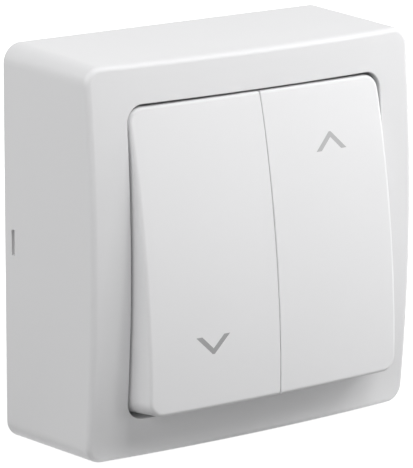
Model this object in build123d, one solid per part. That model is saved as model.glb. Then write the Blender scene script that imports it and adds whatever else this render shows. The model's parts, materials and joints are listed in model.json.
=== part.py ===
from build123d import *
import math
import os

os.makedirs("parts", exist_ok=True)

# Surface-mounted roller shutter switch, in millimetres.
# +X is right and +Z is up as seen from the room. The wall is the plane Y = 0 and the front faces -Y.
# Depth means the distance from the wall, so a depth of 10 lies at Y = -10.
# The rockers are drawn straight and then turned to the pose at rest: top in, bottom out.

# Cover
box_width = 80.0
box_height = 80.0
edge_depth = 27.0        # depth of the ring at its outer corners, before the crown
crown_upright = 2.4      # rise of the ring from its top and bottom edges to its middle
crown_across = 2.2       # rise of the ring from its side edges to its middle
draft_side = 0.35        # how far each side wall leans in over the edge depth
draft_end = 0.85         # how far the top and the bottom wall lean in over the edge depth
corner_radius = 3.9      # outline corners at the wall
front_corner_radius = 3.5
ring_fillet = 1.2
cover_wall = 2.0
cover_slot_width = 1.0
cover_slot_height = 5.2
cover_slot_depth = 2.75
cover_slot_rise = 0.77   # the slot's middle above the middle of the box

# Aperture in the ring
ring_side = 8.8          # width of the ring beside the aperture
ring_end = 8.8           # width of the ring above and below it
aperture_radius = 3.6
lip_wall = 1.4
lip_reach = 2.0          # how far the lip runs behind the edge depth
aperture_fillet = 0.15
shelf_wall = 1.0         # shelves behind the ends of the aperture close off the room for the wires
shelf_clearance = 0.35   # between a shelf and the skirts of the caps at the end of their stroke
shelf_gap = 0.4          # between a shelf and the frame of the mechanism

# Rockers
pivot_inset = 0.5        # from the edge depth back to the pivot
half_travel = 7.0        # degrees from the middle to each end of the stroke
cap_clearance = 0.45     # between the caps and the sides of the aperture
cap_end_clearance = 1.0  # between the caps and its top and bottom, drawn straight
cap_split = 0.15         # between the two caps
cap_rise = 9.1           # from the pivot to the middle of the crowned faces
cap_crown_upright = 1.9
cap_crown_across = 1.45
cap_crown_span = 60.0    # span over which both crowns of the caps are measured
cap_skirt = 3.3          # how far the skirt reaches behind the pivot
cap_wall = 1.4
cap_face_wall = 1.8
cap_outer_radius = 3.2
cap_fillet = 0.8
cap_split_chamfer = 0.15  # on the edge beside the split
cap_rib_wall = 1.4
cap_rib_place = 8.0
cap_leg_width = 7.0
cap_leg_wall = 1.4
cap_hook_reach = 0.8
cap_hook_height = 0.9

# Arrows inlaid in the caps
arrow_offset = 0.72      # from the middle of the cap outwards to the middle of an arrow
arrow_inset = 14.0       # from the end of the cap to the open end of an arrow
arrow_rise = 0.4         # both arrows sit this much higher than that
arrow_span = 7.9
arrow_height = 3.65
arrow_stroke = 1.38      # width of a limb, measured level
arrow_tip_width = 0.5
arrow_inlay = 0.4

# Tumblers
tumbler_plate_rise = 2.5
tumbler_plate_wall = 2.0
tumbler_plate_height = 24.0
tumbler_block_height = 9.0
trunnion_radius = 2.0
trunnion_length = 2.1
trunnion_clearance = 0.05
tube_radius = 3.2
tube_bore_radius = 2.0
tube_gap = 2.34          # from the contact bar's hump in mid-stroke to the open end of the tube
bore_top = 0.5           # how far the bore reaches in front of the pivot
cap_seat_gap = 0.1       # between tumbler plate and cap, on all sides

# Plungers and springs
plunger_clearance = 0.1
plunger_tip_gap = 0.2    # from the tip to the contact bar's hump in mid-stroke
spring_wire_radius = 0.25
spring_side_gap = 0.3    # between the spring and its bore
spring_length = 7.94
spring_turns = 6
spring_end_gap = 0.1

# Contact bars
bar_width = 6.0
bar_thickness = 1.0
bar_tip = 0.2            # how far a bar reaches past its contacts
hump_height = 0.9        # how far the hump stands in front of the bar
hump_half = 3.2
groove_clearance = 0.05
contact_arm = 12.0       # from the fulcrum to each contact
button_radius = 1.8
button_height = 0.8
contact_gap = 0.5        # between closed contacts, at their middle

# Strips
strip_thickness = 1.0
strip_width = 5.0
fulcrum_thickness = 1.2
fulcrum_width = 5.0

# Terminals
terminal_gap = 0.5       # from the end of the housing to a clamp
strip_margin = 0.1       # how far a strip's end reaches past its clamp
clamp_size = 7.0
clamp_thickness = 1.5
clamp_lift = 1.2         # opening under the clamp
terminal_screw_radius = 1.6
terminal_screw_head_radius = 3.0
terminal_screw_head = 2.0
screw_slot_width = 0.9
screw_slot_depth = 0.9
screw_edge_radius = 0.6
screw_clearance = 0.1

# Mechanism housing
housing_side_room = 9.0  # from the cover's side walls to the housing
housing_end_room = 1.4   # from the tip of a contact bar to the wall of its chamber
housing_wall = 1.6
housing_floor = 2.0
bay_wall = 1.5
bay_clearance = 0.5      # beside a clamp in its bay
bay_depth = 12.0         # depth of the front edge of the bay walls
well_floor = 0.6         # floor left under the tip of a terminal screw
guide_wall = 1.2
guide_length = 2.0
guide_place = 6.0
guide_depth = 9.0
fit_gap = 0.2

# Mechanism frame
frame_thickness = 2.0
pivot_rise = 6.5         # from the front of the frame to the pivot
cheek_margin = 2.1       # from a cheek to the edge of its half of the frame
cheek_wall = 2.2
cheek_radius = 3.4
window_clearance = 0.6
ear_height = 8.0
frame_screw_radius = 1.5
frame_screw_head_radius = 2.9
frame_screw_head = 1.8
frame_screw_length = 9.0

# Base plate
base_clearance = 0.3
base_thickness = 2.2
rim_wall = 1.5
rim_depth = 7.0
nib_reach = 0.7          # how far a nib stands into the cover's wall
nib_clearance = 0.15
wall_slot_inset = 10.0   # from the top or bottom of the box to the middle of a slot
wall_slot_width = 4.5
wall_slot_length = 8.0
cable_opening_width = 18.0
cable_opening_height = 9.0
cable_opening_radius = 1.0
cable_opening_across = 16.0
cable_opening_margin = 0.7  # from the rim to an opening
pillar_radius = 3.4
pillar_gap = 0.6         # between the housing and a pillar
pilot_margin = 1.0       # how far a screw's pilot hole runs past its tip

least_corner = 0.3       # smallest radius of an inside corner
overshoot = 1.0          # cutting bodies run this far past what they cut

# Worked out from the sizes above: cover and caps
ring_top = edge_depth + crown_upright + crown_across
lip_depth = edge_depth - lip_reach
aperture_width = box_width - 2 * ring_side
aperture_height = box_height - 2 * ring_end
caps_width = aperture_width - 2 * cap_clearance
cap_width = (caps_width - cap_split) / 2
cap_middle = (cap_split + cap_width) / 2
cap_height = aperture_height - 2 * cap_end_clearance
arrow_across = cap_middle + arrow_offset
arrow_foot = cap_height / 2 - arrow_inset

# Base plate
base_corner_radius = corner_radius - cover_wall - base_clearance
rim_reach = box_height / 2 - cover_wall - base_clearance - rim_wall
cable_opening_reach = rim_reach - cable_opening_margin - cable_opening_height / 2
wall_slot_reach = box_height / 2 - wall_slot_inset

# Mechanism, outwards from its middle
bar_end = contact_arm + button_radius + bar_tip
housing_width = box_width - 2 * (cover_wall + housing_side_room)
housing_height = 2 * (bar_end + housing_end_room + housing_wall)
tumbler_across = housing_width / 4
tumbler_width = housing_width / 2 - 2 * (fit_gap + cheek_wall + cheek_margin)
guide_outside = bar_width / 2 + fit_gap + guide_wall
chamber_side = housing_width / 2 - housing_wall
line_terminal_across = -(tumbler_across + guide_outside + chamber_side) / 2
link_riser_across = (housing_wall / 2 + tumbler_across - guide_outside) / 2
terminal_reach = housing_height / 2 + terminal_gap + clamp_size / 2
terminal_pad = clamp_size / 2 + strip_margin
ear_across = housing_width / 2 + pillar_gap + pillar_radius
spring_radius = tube_bore_radius - spring_side_gap - spring_wire_radius

# Mechanism, forwards from the wall
housing_floor_top = base_thickness + housing_floor
strip_top = housing_floor_top + strip_thickness
fixed_button_top = strip_top + button_height
bar_angle = half_travel
fulcrum_depth = (
    fixed_button_top
    + contact_gap
    + button_height * math.cos(math.radians(bar_angle))
    + contact_arm * math.sin(math.radians(bar_angle))
)
bar_front = fulcrum_depth + bar_thickness
hump_front = bar_front + hump_height
clamp_front = strip_top + clamp_lift + clamp_thickness
terminal_screw_tip = base_thickness + well_floor + screw_clearance
pivot_depth = edge_depth - pivot_inset
skirt_swing = (
    cap_skirt * math.cos(math.radians(half_travel))
    + cap_height / 2 * math.sin(math.radians(half_travel))
)
shelf_front = pivot_depth - skirt_swing - shelf_clearance
shelf_back = shelf_front - shelf_wall
shelf_start = housing_height / 2 + shelf_gap
frame_front = pivot_depth - pivot_rise
housing_front = frame_front - frame_thickness
tube_back = hump_front + tube_gap
bore_front = pivot_depth + bore_top
spring_back = bore_front - spring_end_gap - spring_length
plunger_tip = hump_front + plunger_tip_gap
plunger_front = spring_back - spring_end_gap
pivot_line = Axis((0, -pivot_depth, 0), (1, 0, 0))
fulcrum_line = Axis((0, -fulcrum_depth, 0), (1, 0, 0))


def block(x0, x1, depth0, depth1, z0, z1):
    """A box between two corners, given as spans across, in depth and upright."""
    size = Box(x1 - x0, depth1 - depth0, z1 - z0)
    return Pos((x0 + x1) / 2, -(depth0 + depth1) / 2, (z0 + z1) / 2) * size


def prism(outline, depth0, depth1):
    """A flat outline, drawn as seen from the front, carried from one depth to another."""
    return extrude(Plane.XZ.offset(depth0) * outline, amount=depth1 - depth0)


def disc(x, z, radius, depth0, depth1):
    return prism(Pos(x, z) * Circle(radius), depth0, depth1)


def rod(x0, x1, depth, z, radius):
    """A round rod along X."""
    return Pos((x0 + x1) / 2, -depth, z) * Rot(0, 90, 0) * Cylinder(radius, x1 - x0)


def crowned(front, rise_upright, span_upright, rise_across, span_across):
    """A body as wide and high as the box, with a doubly crowned front at the given depth."""
    radius_upright = (span_upright / 2) ** 2 / (2 * rise_upright)
    radius_across = (span_across / 2) ** 2 / (2 * rise_across)
    reach = box_height / 2 + overshoot
    back = -overshoot
    sag = radius_upright - math.sqrt(radius_upright**2 - reach**2)
    with BuildPart() as body:
        with BuildSketch(Plane.YZ):
            with BuildLine():
                arc = ThreePointArc((-(front - sag), -reach), (-front, 0), (-(front - sag), reach))
                Polyline(arc @ 1, (-back, reach), (-back, -reach), arc @ 0)
            make_face()
        # turned about a line behind the wall, far enough to span the box at its back
        back_radius = radius_across - (front - back)
        turn = 2 * math.degrees(math.asin((box_width / 2 + overshoot) / back_radius))
        axis = Axis((0, radius_across - front, 0), (0, 0, 1))
        revolve(axis=axis, revolution_arc=turn)
    return body.part.rotate(axis, -turn / 2)


def drafted(width, height, radius, front_radius, depth0, depth1):
    """The cover's leaning walls as a solid between two depths."""
    lean_side = draft_side / edge_depth
    lean_end = draft_end / edge_depth

    def outline(depth, corner):
        face = RectangleRounded(width - 2 * lean_side * depth, height - 2 * lean_end * depth, corner)
        return Plane.XZ.offset(depth) * face

    return loft([outline(depth0, radius), outline(depth1, front_radius)])


def front_face(solid):
    return solid.faces().sort_by(Axis.Y)[0]


def make_cover():
    reach = ring_top + overshoot
    body = drafted(box_width, box_height, corner_radius, front_corner_radius, 0, reach)
    body &= crowned(ring_top, crown_upright, box_height, crown_across, box_width)
    body = fillet(front_face(body).edges(), ring_fillet)
    inner_width = box_width - 2 * cover_wall
    inner_height = box_height - 2 * cover_wall
    inner = drafted(
        inner_width,
        inner_height,
        corner_radius - cover_wall,
        front_corner_radius - cover_wall,
        -overshoot,
        reach,
    )
    inner &= crowned(ring_top - cover_wall, crown_upright, box_height, crown_across, box_width)
    body -= inner
    lip_outline = RectangleRounded(
        aperture_width + 2 * lip_wall,
        aperture_height + 2 * lip_wall,
        aperture_radius + lip_wall,
    )
    lip = prism(lip_outline, shelf_back, reach)
    # between the shelves the lip stops short, in front of the mechanism
    half_width = box_width / 2
    lip -= block(
        -half_width,
        half_width,
        shelf_back - overshoot,
        lip_depth,
        -shelf_start,
        shelf_start,
    )
    lip &= crowned(ring_top - cover_wall / 2, crown_upright, box_height, crown_across, box_width)
    body += lip
    aperture = RectangleRounded(aperture_width, aperture_height, aperture_radius)
    body -= prism(aperture, shelf_front, reach)
    body = fillet(front_face(body).inner_wires()[0].edges(), aperture_fillet)
    for side in (-1, 1):
        x0, x1 = sorted((side * (inner_width / 2 - overshoot), side * (box_width / 2 + overshoot)))
        body -= block(
            x0,
            x1,
            cover_slot_depth - cover_slot_width / 2,
            cover_slot_depth + cover_slot_width / 2,
            cover_slot_rise - cover_slot_height / 2,
            cover_slot_rise + cover_slot_height / 2,
        )
    return body


def make_base():
    width = box_width - 2 * cover_wall - 2 * base_clearance
    height = box_height - 2 * cover_wall - 2 * base_clearance
    outline = RectangleRounded(width, height, base_corner_radius)
    lean = draft_end / edge_depth * rim_depth
    rim_width = width - 2 * lean
    rim_height = height - 2 * lean
    outer_rim = RectangleRounded(rim_width, rim_height, base_corner_radius)
    inner_corner = max(base_corner_radius - rim_wall, least_corner)
    inner_rim = RectangleRounded(rim_width - 2 * rim_wall, rim_height - 2 * rim_wall, inner_corner)
    base = prism(outline, 0, base_thickness)
    base += prism(outer_rim, 0, rim_depth)
    base -= prism(inner_rim, base_thickness, rim_depth + overshoot)
    for side in (-1, 1):
        tip = side * (box_width / 2 - cover_wall + nib_reach)
        root = side * (rim_width / 2 - rim_wall)
        base += block(
            min(tip, root),
            max(tip, root),
            cover_slot_depth - cover_slot_width / 2 + nib_clearance,
            cover_slot_depth + cover_slot_width / 2 - nib_clearance,
            cover_slot_rise - cover_slot_height / 2 + nib_clearance,
            cover_slot_rise + cover_slot_height / 2 - nib_clearance,
        )
        base += disc(side * ear_across, 0, pillar_radius, base_thickness, housing_front)
        pilot = frame_front - frame_screw_length - pilot_margin
        base -= disc(side * ear_across, 0, frame_screw_radius + screw_clearance, pilot, frame_front)
    upright = SlotOverall(wall_slot_length, wall_slot_width, rotation=90)
    for end in (-1, 1):
        slot = Pos(0, end * wall_slot_reach) * upright
        base -= prism(slot, -overshoot, base_thickness + overshoot)
    for side in (-1, 1):
        for end in (-1, 1):
            opening = Pos(side * cable_opening_across, end * cable_opening_reach) * RectangleRounded(
                cable_opening_width, cable_opening_height, cable_opening_radius
            )
            base -= prism(opening, -overshoot, base_thickness + overshoot)
    return base


def terminals():
    """Place across, end (-1 bottom, 1 top) of the three terminals, by name."""
    return {
        "line": (line_terminal_across, -1),
        "down": (-tumbler_across, 1),
        "up": (tumbler_across, -1),
    }


def make_housing():
    half_width = housing_width / 2
    half_height = housing_height / 2
    body = block(-half_width, half_width, base_thickness, housing_front, -half_height, half_height)
    chamber_height = half_height - housing_wall
    for side in (-1, 1):
        x0, x1 = sorted((side * housing_wall / 2, side * chamber_side))
        body -= block(
            x0,
            x1,
            housing_floor_top,
            housing_front + overshoot,
            -chamber_height,
            chamber_height,
        )
    bay_end = terminal_reach + terminal_pad + fit_gap
    for x, end in terminals().values():
        half = clamp_size / 2 + bay_clearance
        z0, z1 = sorted((end * half_height, end * bay_end))
        spread = half + bay_wall
        body += block(x - spread, x + spread, base_thickness, bay_depth, z0, z1)
        z0, z1 = sorted((end * half_height, end * (bay_end + overshoot)))
        body -= block(x - half, x + half, housing_floor_top, bay_depth + overshoot, z0, z1)
        # the strip passes through the chamber wall into the bay
        z0, z1 = sorted((end * (chamber_height - overshoot), end * (half_height + overshoot)))
        notch = strip_width / 2 + fit_gap
        body -= block(x - notch, x + notch, housing_floor_top, strip_top + fit_gap, z0, z1)
        body -= disc(
            x,
            end * terminal_reach,
            terminal_screw_radius + 2 * screw_clearance,
            terminal_screw_tip - screw_clearance,
            housing_floor_top + overshoot,
        )
    # the link strip passes through the wall between the chambers
    notch = strip_width / 2 + fit_gap
    body -= block(
        -housing_wall,
        housing_wall,
        housing_floor_top,
        strip_top + fit_gap,
        -contact_arm - notch,
        -contact_arm + notch,
    )
    # a post that stops the end of the right bar that has no contact
    body += block(
        tumbler_across - button_radius,
        tumbler_across + button_radius,
        housing_floor_top,
        fixed_button_top + button_height,
        contact_arm - button_radius,
        contact_arm + button_radius,
    )
    # guides beside each contact bar
    for side in (-1, 1):
        for flank in (-1, 1):
            for end in (-1, 1):
                near = side * tumbler_across + flank * (bar_width / 2 + fit_gap)
                far = near + flank * guide_wall
                body += block(
                    min(near, far),
                    max(near, far),
                    housing_floor_top,
                    guide_depth,
                    end * guide_place - guide_length / 2,
                    end * guide_place + guide_length / 2,
                )
    return body


def cheek_places():
    """Inner and outer face of each of the four cheeks that carry the trunnions."""
    places = []
    for side in (-1, 1):
        for flank in (-1, 1):
            near = side * tumbler_across + flank * (tumbler_width / 2 + fit_gap)
            places.append(sorted((near, near + flank * cheek_wall)))
    return places


def make_frame():
    half_width = housing_width / 2
    half_height = housing_height / 2
    frame = block(-half_width, half_width, housing_front, frame_front, -half_height, half_height)
    ear_end = ear_across + ear_height / 2
    frame += prism(SlotOverall(2 * ear_end, ear_height), housing_front, frame_front)
    for x0, x1 in cheek_places():
        frame += block(x0, x1, frame_front, pivot_depth, -cheek_radius, cheek_radius)
        frame += rod(x0, x1, pivot_depth, 0, cheek_radius)
        frame -= rod(x0 - overshoot, x1 + overshoot, pivot_depth, 0, trunnion_radius)
    swing = (pivot_depth - housing_front) * math.tan(math.radians(half_travel))
    window_x = tube_radius + window_clearance
    window_z = tube_radius / math.cos(math.radians(half_travel)) + swing + window_clearance
    for side in (-1, 1):
        x = side * tumbler_across
        frame -= block(
            x - window_x,
            x + window_x,
            housing_front - overshoot,
            frame_front + overshoot,
            -window_z,
            window_z,
        )
        frame -= disc(
            side * ear_across,
            0,
            frame_screw_radius + screw_clearance,
            housing_front - overshoot,
            frame_front + overshoot,
        )
    return frame


def at_rest(solid):
    """Turns a piece of a rocker from the middle of its stroke to the pose at rest."""
    return solid.rotate(pivot_line, -half_travel)


def cap_crown(inset):
    """The body behind the crowned face that the two caps share, set in from the face."""
    front = pivot_depth + cap_rise - inset
    return crowned(front, cap_crown_upright, cap_crown_span, cap_crown_across, cap_crown_span)


def cap_outline(side, inset):
    """The outline of one cap, with round outer corners and square ones beside the split."""
    width = cap_width - 2 * inset
    height = cap_height - 2 * inset
    outline = Pos(side * cap_middle, 0) * Rectangle(width, height)
    corners = outline.vertices().sort_by(Axis.X)
    outer = corners[:2] if side < 0 else corners[2:]
    return fillet(outer, max(cap_outer_radius - inset, least_corner))


def arrow_outline(side):
    """A chevron: pointing down on the left cap and up on the right one."""
    end = side
    x = side * arrow_across
    foot = end * arrow_foot + arrow_rise
    tip = foot + end * arrow_height
    half = arrow_span / 2
    inner_half = half - arrow_stroke
    inner_tip = foot + end * arrow_height * inner_half / (half - arrow_tip_width / 2)
    points = [
        (x - half, foot),
        (x - arrow_tip_width / 2, tip),
        (x + arrow_tip_width / 2, tip),
        (x + half, foot),
        (x + inner_half, foot),
        (x, inner_tip),
        (x - inner_half, foot),
    ]
    return make_face(Polyline(*points, close=True))


def make_arrow(side):
    arrow = prism(arrow_outline(side), pivot_depth, pivot_depth + cap_rise + overshoot)
    return arrow & (cap_crown(0) - cap_crown(arrow_inlay))


def edges_outwards(cap):
    """The edges of a cap's face, the one beside the split first."""
    return front_face(cap).edges().sort_by(lambda edge: abs(edge.center().X))


def make_cap(side):
    back = pivot_depth - cap_skirt
    reach = pivot_depth + cap_rise + overshoot
    body = prism(cap_outline(side, 0), back, reach) & cap_crown(0)
    body = fillet(edges_outwards(body)[1:], cap_fillet)
    body = chamfer(edges_outwards(body)[0], cap_split_chamfer)
    body -= prism(cap_outline(side, cap_wall), back - overshoot, reach) & cap_crown(cap_face_wall)
    # ribs that rest on the tumbler, and legs that hook behind its plate
    inner_half = cap_width / 2 - cap_wall
    middle = side * cap_middle
    plate_front = pivot_depth + tumbler_plate_rise + tumbler_plate_wall
    plate_back = pivot_depth + tumbler_plate_rise
    plate_half = tumbler_plate_height / 2
    fittings = []
    for end in (-1, 1):
        rib = block(
            middle - inner_half - cap_wall / 2,
            middle + inner_half + cap_wall / 2,
            plate_front + cap_seat_gap,
            reach,
            end * cap_rib_place - cap_rib_wall / 2,
            end * cap_rib_place + cap_rib_wall / 2,
        )
        fittings.append(rib)
        near = end * (plate_half + cap_seat_gap)
        far = near + end * cap_leg_wall
        hook_back = plate_back - cap_seat_gap - cap_hook_height
        for flank in (-1, 1):
            x = side * tumbler_across + flank * (tumbler_width - cap_leg_width) / 2
            x0 = x - cap_leg_width / 2
            x1 = x + cap_leg_width / 2
            fittings.append(block(x0, x1, hook_back, reach, min(near, far), max(near, far)))
            tip = near - end * (cap_hook_reach + cap_seat_gap)
            z0, z1 = sorted((tip, far))
            fittings.append(block(x0, x1, hook_back, hook_back + cap_hook_height, z0, z1))
    inside = cap_crown(cap_face_wall / 2)
    for piece in fittings:
        body += piece & inside
    body -= make_arrow(side)
    return body


def make_tumbler(side):
    x = side * tumbler_across
    half = tumbler_width / 2
    plate_back = pivot_depth + tumbler_plate_rise
    body = block(
        x - half,
        x + half,
        plate_back,
        plate_back + tumbler_plate_wall,
        -tumbler_plate_height / 2,
        tumbler_plate_height / 2,
    )
    block_half = tumbler_block_height / 2
    body += block(
        x - half,
        x + half,
        pivot_depth - trunnion_radius,
        plate_back + tumbler_plate_wall / 2,
        -block_half,
        block_half,
    )
    radius = trunnion_radius - trunnion_clearance
    body += rod(x - half - trunnion_length, x + half + trunnion_length, pivot_depth, 0, radius)
    body += disc(x, 0, tube_radius, tube_back, pivot_depth)
    body -= disc(x, 0, tube_bore_radius, tube_back - overshoot, bore_front)
    return body


def make_plunger(side):
    x = side * tumbler_across
    radius = tube_bore_radius - plunger_clearance
    body = disc(x, 0, radius, plunger_tip + radius, plunger_front)
    return body + Pos(x, -(plunger_tip + radius), 0) * Sphere(radius)


def make_spring(side):
    height = spring_length - 2 * spring_wire_radius
    start = spring_back + spring_wire_radius
    coil = Helix(pitch=height / spring_turns, height=height, radius=spring_radius)
    section = Plane(origin=coil @ 0, z_dir=coil % 0) * Circle(spring_wire_radius)
    wire = sweep(section, path=coil, is_frenet=True)
    return Pos(side * tumbler_across, -start, 0) * Rot(90, 0, 0) * wire


def bar_pose(solid):
    """Turns a piece of a contact bar from the middle of its stroke to the pose at rest."""
    return solid.rotate(fulcrum_line, bar_angle)


def make_bar(side):
    x = side * tumbler_across
    half = bar_width / 2
    body = block(x - half, x + half, fulcrum_depth, bar_front, -bar_end, bar_end)
    body += block(x - half, x + half, fulcrum_depth, hump_front, -hump_half, hump_half)
    groove = fulcrum_thickness / 2 + groove_clearance
    return body - rod(x - half - overshoot, x + half + overshoot, fulcrum_depth, 0, groove)


def make_bar_button(side, end):
    x = side * tumbler_across
    return disc(x, end * contact_arm, button_radius, fulcrum_depth - button_height, fulcrum_depth)


def flat_strip(x0, x1, z0, z1):
    return block(min(x0, x1), max(x0, x1), housing_floor_top, strip_top, min(z0, z1), max(z0, z1))


def fulcrum(side):
    """The folded-up ridge with a round edge that a contact bar rocks on."""
    x = side * tumbler_across
    half = fulcrum_width / 2
    thickness = fulcrum_thickness / 2
    ridge = block(x - half, x + half, housing_floor_top, fulcrum_depth, -thickness, thickness)
    return ridge + rod(x - half, x + half, fulcrum_depth, 0, thickness)


def terminal_strip(x, end, inner_z):
    """The stretch of a strip from inside the housing to its terminal screw, with the screw hole."""
    half = strip_width / 2
    strip = flat_strip(x - half, x + half, inner_z, end * (terminal_reach + terminal_pad))
    hole = disc(
        x,
        end * terminal_reach,
        terminal_screw_radius + screw_clearance,
        housing_floor_top - overshoot,
        strip_top + overshoot,
    )
    return strip - hole


def make_line_strip():
    half = strip_width / 2
    x = line_terminal_across
    strip = terminal_strip(x, -1, half)
    strip += flat_strip(x, -tumbler_across + fulcrum_width / 2, -half, half)
    return strip + fulcrum(-1)


def make_link_strip():
    half = strip_width / 2
    riser = link_riser_across
    strip = flat_strip(-tumbler_across - half, riser + half, -contact_arm - half, -contact_arm + half)
    strip += flat_strip(riser - half, riser + half, -contact_arm - half, half)
    strip += flat_strip(riser - half, tumbler_across + fulcrum_width / 2, -half, half)
    return strip + fulcrum(1)


def make_output_strip(name):
    """A straight strip from a fixed contact to the terminal of one motor direction."""
    x, end = terminals()[name]
    return terminal_strip(x, end, end * (contact_arm - strip_width / 2))


def make_fixed_button(side, end):
    return disc(side * tumbler_across, end * contact_arm, button_radius, strip_top, fixed_button_top)


def make_clamp(x, end):
    """A saddle over the strip that its screw draws down on the wire."""
    half = clamp_size / 2
    z = end * terminal_reach
    clamp = block(x - half, x + half, housing_floor_top + fit_gap, clamp_front, z - half, z + half)
    inner = strip_width / 2 + fit_gap
    clamp -= block(
        x - inner,
        x + inner,
        housing_floor_top,
        strip_top + clamp_lift,
        z - half - overshoot,
        z + half + overshoot,
    )
    hole = terminal_screw_radius + screw_clearance
    return clamp - disc(x, z, hole, strip_top - overshoot, clamp_front + overshoot)


def slotted_screw(x, z, seat, radius, length, head_radius, head):
    """A slotted pan-head screw whose head sits at the given depth."""
    body = disc(x, z, radius, seat - length, seat)
    crown = disc(x, z, head_radius, seat, seat + head)
    crown = fillet(front_face(crown).edges(), screw_edge_radius)
    slot = block(
        x - head_radius - overshoot,
        x + head_radius + overshoot,
        seat + head - screw_slot_depth,
        seat + head + overshoot,
        z - screw_slot_width / 2,
        z + screw_slot_width / 2,
    )
    return body + (crown - slot)


def make_terminal_screw(x, end):
    return slotted_screw(
        x,
        end * terminal_reach,
        clamp_front,
        terminal_screw_radius,
        clamp_front - terminal_screw_tip,
        terminal_screw_head_radius,
        terminal_screw_head,
    )


def make_frame_screw(side):
    return slotted_screw(
        side * ear_across,
        0,
        frame_front,
        frame_screw_radius,
        frame_screw_length,
        frame_screw_head_radius,
        frame_screw_head,
    )


nodes = {
    "cover": make_cover(),
    "base_plate": make_base(),
    "mechanism_housing": make_housing(),
    "mechanism_frame": make_frame(),
    "line_strip": make_line_strip(),
    "link_strip": make_link_strip(),
    "down_strip": make_output_strip("down"),
    "up_strip": make_output_strip("up"),
    "fixed_button_link": make_fixed_button(-1, -1),
    "fixed_button_down": make_fixed_button(-1, 1),
    "fixed_button_up": make_fixed_button(1, -1),
}
for name, (across, end) in terminals().items():
    nodes[f"{name}_clamp"] = make_clamp(across, end)
    nodes[f"{name}_terminal_screw"] = make_terminal_screw(across, end)
for name, side in (("left", -1), ("right", 1)):
    nodes[f"rocker_cap_{name}"] = at_rest(make_cap(side))
    nodes[f"arrow_{name}"] = at_rest(make_arrow(side))
    nodes[f"tumbler_{name}"] = at_rest(make_tumbler(side))
    nodes[f"plunger_{name}"] = at_rest(make_plunger(side))
    nodes[f"spring_{name}"] = at_rest(make_spring(side))
    nodes[f"contact_bar_{name}"] = bar_pose(make_bar(side))
    nodes[f"bar_button_{name}_lower"] = bar_pose(make_bar_button(side, -1))
    nodes[f"frame_screw_{name}"] = make_frame_screw(side)
nodes["bar_button_left_upper"] = bar_pose(make_bar_button(-1, 1))

for name, solid in nodes.items():
    export_step(solid, f"parts/{name}.step")
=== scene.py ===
import json
import math

import bpy
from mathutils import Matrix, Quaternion, Vector


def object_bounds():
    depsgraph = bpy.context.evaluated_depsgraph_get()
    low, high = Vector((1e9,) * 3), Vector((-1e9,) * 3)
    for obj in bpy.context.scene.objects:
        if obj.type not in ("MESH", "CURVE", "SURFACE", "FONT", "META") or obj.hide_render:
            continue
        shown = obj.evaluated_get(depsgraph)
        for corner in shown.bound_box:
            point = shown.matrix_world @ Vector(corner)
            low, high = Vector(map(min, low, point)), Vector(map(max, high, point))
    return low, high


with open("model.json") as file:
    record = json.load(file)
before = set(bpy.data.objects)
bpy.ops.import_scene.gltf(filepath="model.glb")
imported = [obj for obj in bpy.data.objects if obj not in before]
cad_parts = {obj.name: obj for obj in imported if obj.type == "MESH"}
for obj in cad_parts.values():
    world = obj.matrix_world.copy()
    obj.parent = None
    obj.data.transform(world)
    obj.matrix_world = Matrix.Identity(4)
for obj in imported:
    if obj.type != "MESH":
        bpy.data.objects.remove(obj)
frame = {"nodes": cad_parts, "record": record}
cad_low, cad_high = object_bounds()

# Sizes are in metres, in the frame of the switch: +Z up, the wall at Y = 0, the front facing -Y.
MM = 0.001

# Camera, on the line of sight of the photograph
SIGHT_AZIMUTH = -36.997
SIGHT_ELEVATION = 13.303
SIGHT_ROLL = 0.139
SIGHT_DISTANCE = 742.46 * MM
SIGHT_POINT = Vector((5.668, -5.288, -3.436)) * MM
LENS = 280.66
SENSOR = 36.0
NEAR_CLIP = 0.01
FAR_CLIP = 20.0

# Floor under the box: its glow is what brings it to white, and rises with the distance from the box
FLOOR_SIZE = 6.0
FLOOR_SHADE = "CFCFCF"
FLOOR_GLOW_NEAR = 0.72
FLOOR_GLOW_FAR = 1.0
FLOOR_NEAR = 80 * MM
FLOOR_FAR = 280 * MM

# What the floor is for light that bounces up from it: dimmer, so that the bounce doesn't flatten the box
BOUNCE_SHADE = "707070"

# A narrow margin of the floor, along the flat underside of the box, glows though it is no lamp: a painted
# bounce of light up the lowest edge of the box
UNDERSIDE_DEPTH = 29 * MM
MARGIN_GLOW = 0.5
MARGIN_WIDTH = 1.0 * MM

WHITE = "FFFFFF"

# Heights of the two arrows, between which the tone of the inlay drifts: painted light, the upper arrow
# painted paler as if it caught more light
LOW_ARROW = -16 * MM
HIGH_ARROW = 19 * MM

# Clouds that the flow of the melt leaves in a large moulding
FLOW_SIZE = 22 * MM
FLOW_OCTAVES = 2.0

# Octaves of the fine patterns, and how far the roughness swings about its middle with them
GRAIN_OCTAVES = 3.0
GRAIN_SWING = 0.04
LINE_OCTAVES = 4.0
LINE_SWING = 0.08

# Sockets of the Mix node when it mixes colours
MIX_SHARE = 0
MIX_FIRST = 6
MIX_SECOND = 7
MIX_RESULT = 2

# Softboxes: place, width and power in watts
LAMPS = {
    "right_high": {"place": (0.60, -0.47, 0.58), "width": 0.35, "power": 3.0},
    "right_flank": {"place": (0.60, -0.14, 0.12), "width": 0.25, "power": 1.5},
    "near_front": {"place": (0.05, -0.30, 0.36), "width": 0.22, "power": 0.78},
    "low_front": {"place": (0.30, -0.60, 0.06), "width": 0.16, "power": 0.5},
    "left_high": {"place": (-0.75, 0.05, 0.55), "width": 0.40, "power": 3.1},
    "left_behind": {"place": (-0.70, 0.35, 0.45), "width": 0.40, "power": 1.4},
    "left_front": {"place": (-0.65, -0.70, 0.30), "width": 0.40, "power": 1.75},
    "back": {"place": (0.20, 0.90, 0.10), "width": 0.30, "power": 4.5},
}


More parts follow.
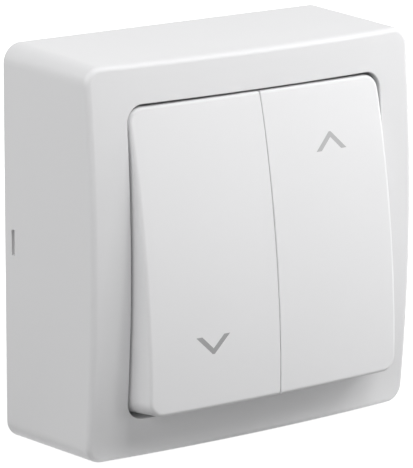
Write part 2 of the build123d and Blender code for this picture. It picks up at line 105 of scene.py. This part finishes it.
def linear(hex_colour):
    """An sRGB hex colour as linear red, green, blue and alpha."""
    channels = [int(hex_colour[i : i + 2], 16) / 255 for i in (0, 2, 4)]
    turned = [c / 12.92 if c <= 0.04045 else ((c + 0.055) / 1.055) ** 2.4 for c in channels]
    return (*turned, 1.0)


def add(tree, kind, settings, links=None):
    """Adds a node. Settings are values of its sockets or properties, links the sockets that feed it."""
    made = tree.nodes.new(kind)
    for name, value in settings.items():
        if isinstance(name, int) or name in made.inputs:
            made.inputs[name].default_value = value
        else:
            setattr(made, name, value)
    for name, source in (links or {}).items():
        tree.links.new(source, made.inputs[name])
    return made


def new_material(name):
    """An empty material with its output, and the object's own coordinates in metres."""
    material = bpy.data.materials.new(name)
    material.use_nodes = True
    tree = material.node_tree
    tree.nodes.clear()
    output = add(tree, "ShaderNodeOutputMaterial", {})
    place = add(tree, "ShaderNodeTexCoord", {}).outputs["Object"]
    return material, tree, output, place


def flow_drift(tree, place):
    """The faint clouds of the melt's flow, between 0 and 1."""
    flow = add(
        tree,
        "ShaderNodeTexNoise",
        {"Scale": 1 / FLOW_SIZE, "Detail": FLOW_OCTAVES},
        {"Vector": place},
    )
    return flow.outputs["Fac"]


def painted_light_drift(tree, place):
    """Painted light on the inlay, 0 at the height of the upper arrow, painted paler as if lit more, and 1
    at that of the lower one.
    """
    axes = add(tree, "ShaderNodeSeparateXYZ", {}, {"Vector": place})
    height = add(
        tree,
        "ShaderNodeMapRange",
        {"From Min": HIGH_ARROW, "From Max": LOW_ARROW},
        {"Value": axes.outputs["Z"]},
    )
    return height.outputs[0]


def build_surface(tree, output, shades, drift, pattern, roughness, swing, depth, nature):
    """Tone between two shades by the drift, with relief and gloss from the fine pattern."""
    tone = add(
        tree,
        "ShaderNodeMix",
        {"data_type": "RGBA", MIX_FIRST: linear(shades[0]), MIX_SECOND: linear(shades[1])},
        {MIX_SHARE: drift},
    )
    relief = add(tree, "ShaderNodeBump", {"Strength": 1.0, "Distance": depth}, {"Height": pattern})
    gloss = add(
        tree,
        "ShaderNodeMapRange",
        {"To Min": roughness - swing, "To Max": roughness + swing},
        {"Value": pattern},
    )
    body = add(
        tree,
        "ShaderNodeBsdfPrincipled",
        nature,
        {
            "Base Color": tone.outputs[MIX_RESULT],
            "Roughness": gloss.outputs[0],
            "Normal": relief.outputs[0],
        },
    )
    tree.links.new(body.outputs[0], output.inputs["Surface"])


def moulded_plastic(name, shades, roughness, grain, depth, ior, drift=flow_drift):
    """Injection-moulded plastic: a spark-eroded grain, and a drift in tone, by default from the flow."""
    material, tree, output, place = new_material(name)
    sparks = add(
        tree,
        "ShaderNodeTexNoise",
        {"Scale": 1 / grain, "Detail": GRAIN_OCTAVES},
        {"Vector": place},
    )
    clouds = drift(tree, place)
    pattern = sparks.outputs["Fac"]
    build_surface(tree, output, shades, clouds, pattern, roughness, GRAIN_SWING, depth, {"IOR": ior})
    return material


def worked_metal(name, shades, roughness, stretch, grain, depth):
    """Metal with a drawn, rolled or plated grain: the stretch is how much longer it is along Z."""
    material, tree, output, place = new_material(name)
    along = add(tree, "ShaderNodeMapping", {"Scale": (1.0, 1.0, 1.0 / stretch)}, {"Vector": place})
    lines = add(
        tree,
        "ShaderNodeTexNoise",
        {"Scale": 1 / grain, "Detail": LINE_OCTAVES},
        {"Vector": along.outputs[0]},
    )
    pattern = lines.outputs["Fac"]
    build_surface(tree, output, shades, pattern, pattern, roughness, LINE_SWING, depth, {"Metallic": 1.0})
    return material


def make_finishes():
    """One finish for each material slot of the record.

    Grain is the width of a pattern's marks, and depth the height of its relief. On the real plastics
    the marks are mostly 0.1 to 0.2 mm wide, too fine to show, so there they are drawn wider.
    """
    return {
        # ASA, moulded in a finely eroded tool: a satin white with a soft, broad sheen
        "cover_plastic": moulded_plastic(
            "asa_cover", ("EDEDEE", "EBEBEC"), roughness=0.42,
            grain=0.45 * MM, depth=0.004 * MM, ior=1.50
        ),
        # ASA, a touch whiter: the rocker caps are finer in grain, with a broader and duller sheen
        "rocker_plastic": moulded_plastic(
            "asa_caps", ("EFEFF0", "EDEDEE"), roughness=0.46,
            grain=0.40 * MM, depth=0.003 * MM, ior=1.50
        ),
        # grey ABS inlay, moulded in flush: duller than its white surround, with painted light that makes
        # the upper arrow paler, as if it caught more light
        "arrow_grey": moulded_plastic(
            "abs_inlay", ("B8B8B9", "A2A2A3"), roughness=0.50,
            grain=0.30 * MM, depth=0.003 * MM, ior=1.54, drift=painted_light_drift
        ),
        # polycarbonate base, off-white, with the coarser grain of a part that faces the wall
        "base_plastic": moulded_plastic(
            "pc_base", ("E4E4E1", "E0E0DD"), roughness=0.55,
            grain=0.60 * MM, depth=0.008 * MM, ior=1.58
        ),
        # glass-filled PBT, dark grey: dull, with fibres that break up the surface
        "housing_plastic": moulded_plastic(
            "pbt_housing", ("3D4044", "35383C"), roughness=0.62,
            grain=0.35 * MM, depth=0.010 * MM, ior=1.57
        ),
        # glass-filled PBT, light grey, dull
        "frame_plastic": moulded_plastic(
            "pbt_frame", ("D2D2CE", "CACAC6"), roughness=0.58,
            grain=0.35 * MM, depth=0.008 * MM, ior=1.57
        ),
        # natural acetal: milky, waxy and slightly glossier, as sliding parts are
        "tumbler_plastic": moulded_plastic(
            "acetal_tumbler", ("EAE9E2", "E5E4DC"), roughness=0.34,
            grain=0.50 * MM, depth=0.003 * MM, ior=1.48
        ),
        "plunger_plastic": moulded_plastic(
            "acetal_plunger", ("EAE9E2", "E5E4DC"), roughness=0.30,
            grain=0.50 * MM, depth=0.002 * MM, ior=1.48
        ),
        # drawn spring steel wire: bright, with die lines
        "spring_steel": worked_metal(
            "spring_wire", ("B9BABC", "A6A7AA"), roughness=0.28,
            stretch=6.0, grain=0.05 * MM, depth=0.001 * MM
        ),
        # rolled copper alloy: warm, with rolling lines along the strip
        "contact_copper": worked_metal(
            "copper_alloy", ("C98D6B", "B87E5E"), roughness=0.34,
            stretch=12.0, grain=0.12 * MM, depth=0.002 * MM
        ),
        # silver alloy rivets: pale and nearly white
        "contact_silver": worked_metal(
            "silver_alloy", ("DCDCD8", "CFCFCB"), roughness=0.30,
            stretch=1.0, grain=0.15 * MM, depth=0.002 * MM
        ),
        # stamped brass strip: yellow, rolled, a little dull from handling
        "strip_brass": worked_metal(
            "stamped_brass", ("CDB169", "BEA25B"), roughness=0.36,
            stretch=12.0, grain=0.14 * MM, depth=0.002 * MM
        ),
        # zinc-plated steel: bluish grey with a fine crystalline mottling
        "clamp_steel": worked_metal(
            "zinc_clamp", ("B4B8BC", "A2A6AB"), roughness=0.38,
            stretch=1.0, grain=0.30 * MM, depth=0.002 * MM
        ),
        "screw_steel": worked_metal(
            "zinc_screw", ("B8BBBF", "A6A9AE"), roughness=0.34,
            stretch=1.0, grain=0.25 * MM, depth=0.002 * MM
        ),
    }


def dress_nodes():
    """Gives every carried-over CAD node the finish of its slot."""
    finishes = make_finishes()
    for part in frame["record"]["subparts"]:
        node = frame["nodes"][part["node"]]
        node.data.materials.clear()
        node.data.materials.append(finishes[part["material_slot"]])


def make_camera():
    """The camera, looking at the sight point along the photograph's line of sight."""
    azimuth = math.radians(SIGHT_AZIMUTH)
    elevation = math.radians(SIGHT_ELEVATION)
    back = Vector(
        (
            math.sin(azimuth) * math.cos(elevation),
            -math.cos(azimuth) * math.cos(elevation),
            math.sin(elevation),
        )
    )
    data = bpy.data.cameras.new("sight")
    data.lens = LENS
    data.sensor_width = SENSOR
    data.clip_start = NEAR_CLIP
    data.clip_end = FAR_CLIP
    camera = bpy.data.objects.new("sight", data)
    bpy.context.scene.collection.objects.link(camera)
    camera.location = SIGHT_POINT + back * SIGHT_DISTANCE
    camera.rotation_mode = "QUATERNION"
    level = (-back).to_track_quat("-Z", "Y")
    camera.rotation_quaternion = level @ Quaternion((0, 0, 1), math.radians(SIGHT_ROLL))
    bpy.context.scene.camera = camera


def seen_ray(tree):
    """1 for rays from the camera, from reflections and through glass, and 0 for the rest."""
    path = add(tree, "ShaderNodeLightPath", {})
    mirrored = add(
        tree,
        "ShaderNodeMath",
        {"operation": "MAXIMUM"},
        {0: path.outputs["Is Camera Ray"], 1: path.outputs["Is Glossy Ray"]},
    )
    seen = add(
        tree,
        "ShaderNodeMath",
        {"operation": "MAXIMUM"},
        {0: mirrored.outputs[0], 1: path.outputs["Is Transmission Ray"]},
    )
    return seen.outputs[0]


def distance_from_box(tree, place):
    """How far a point of the floor lies outside the flat underside of the box."""
    half_width = (cad_high.x - cad_low.x) / 2
    half_depth = UNDERSIDE_DEPTH / 2
    middle = (cad_low.x + half_width, cad_high.y - half_depth, cad_low.z)
    steps = (
        {"operation": "SUBTRACT", 1: middle},
        {"operation": "ABSOLUTE"},
        {"operation": "SUBTRACT", 1: (half_width, half_depth, 0.0)},
        {"operation": "MAXIMUM", 1: (0.0, 0.0, 0.0)},
        {"operation": "LENGTH"},
    )
    point = place
    for step in steps:
        worked = add(tree, "ShaderNodeVectorMath", step, {0: point})
        point = worked.outputs[0]
    return worked.outputs["Value"]


def make_floor():
    """A pale floor with the soft shadow of the box, which throws little light back on it, but for a
    glowing margin that is a painted bounce of light on the box's lowest edge.
    """
    bpy.ops.object.select_all(action="DESELECT")
    bpy.ops.mesh.primitive_plane_add(size=FLOOR_SIZE, location=(0, 0, cad_low.z))
    floor = bpy.context.object
    floor.name = "floor"
    bpy.ops.object.transform_apply(location=True, rotation=True, scale=True)
    material, tree, output, place = new_material("pale_floor")
    matt = add(tree, "ShaderNodeBsdfDiffuse", {"Color": linear(FLOOR_SHADE)})
    distance = add(tree, "ShaderNodeVectorMath", {"operation": "LENGTH"}, {0: place})
    level = add(
        tree,
        "ShaderNodeMapRange",
        {
            "From Min": FLOOR_NEAR,
            "From Max": FLOOR_FAR,
            "To Min": FLOOR_GLOW_NEAR,
            "To Max": FLOOR_GLOW_FAR,
        },
        {"Value": distance.outputs["Value"]},
    )
    glow = add(tree, "ShaderNodeEmission", {"Color": linear(WHITE)}, {"Strength": level.outputs[0]})
    pale = add(tree, "ShaderNodeAddShader", {}, {0: matt.outputs[0], 1: glow.outputs[0]})
    shade = add(tree, "ShaderNodeBsdfDiffuse", {"Color": linear(BOUNCE_SHADE)})
    fade = add(
        tree,
        "ShaderNodeMapRange",
        {"From Min": 0.0, "From Max": MARGIN_WIDTH, "To Min": MARGIN_GLOW, "To Max": 0.0},
        {"Value": distance_from_box(tree, place)},
    )
    # painted bounce: the margin along the underside glows, to light the lowest edge of the box
    painted_bounce = add(tree, "ShaderNodeEmission", {"Color": linear(WHITE)}, {"Strength": fade.outputs[0]})
    dim = add(tree, "ShaderNodeAddShader", {}, {0: shade.outputs[0], 1: painted_bounce.outputs[0]})
    mix = add(
        tree,
        "ShaderNodeMixShader",
        {},
        {0: seen_ray(tree), 1: dim.outputs[0], 2: pale.outputs[0]},
    )
    tree.links.new(mix.outputs[0], output.inputs["Surface"])
    floor.data.materials.append(material)


def make_world():
    """White where it is seen, and dark to everything else, so that the lamps alone light the box."""
    world = bpy.data.worlds.new("studio")
    bpy.context.scene.world = world
    world.use_nodes = True
    tree = world.node_tree
    tree.nodes.clear()
    output = add(tree, "ShaderNodeOutputWorld", {})
    white = add(
        tree,
        "ShaderNodeBackground",
        {"Color": linear(WHITE)},
        {"Strength": seen_ray(tree)},
    )
    tree.links.new(white.outputs[0], output.inputs["Surface"])


def make_lamps():
    """Square softboxes, each turned to the middle of the box."""
    middle = (cad_low + cad_high) / 2
    for name, lamp in LAMPS.items():
        data = bpy.data.lights.new(name, "AREA")
        data.shape = "SQUARE"
        data.size = lamp["width"]
        data.energy = lamp["power"]
        softbox = bpy.data.objects.new(name, data)
        bpy.context.scene.collection.objects.link(softbox)
        softbox.location = lamp["place"]
        softbox.rotation_mode = "QUATERNION"
        softbox.rotation_quaternion = (middle - softbox.location).to_track_quat("-Z", "Y")


make_camera()
dress_nodes()
make_floor()
make_world()
make_lamps()
bpy.context.scene.view_settings.view_transform = "Standard"
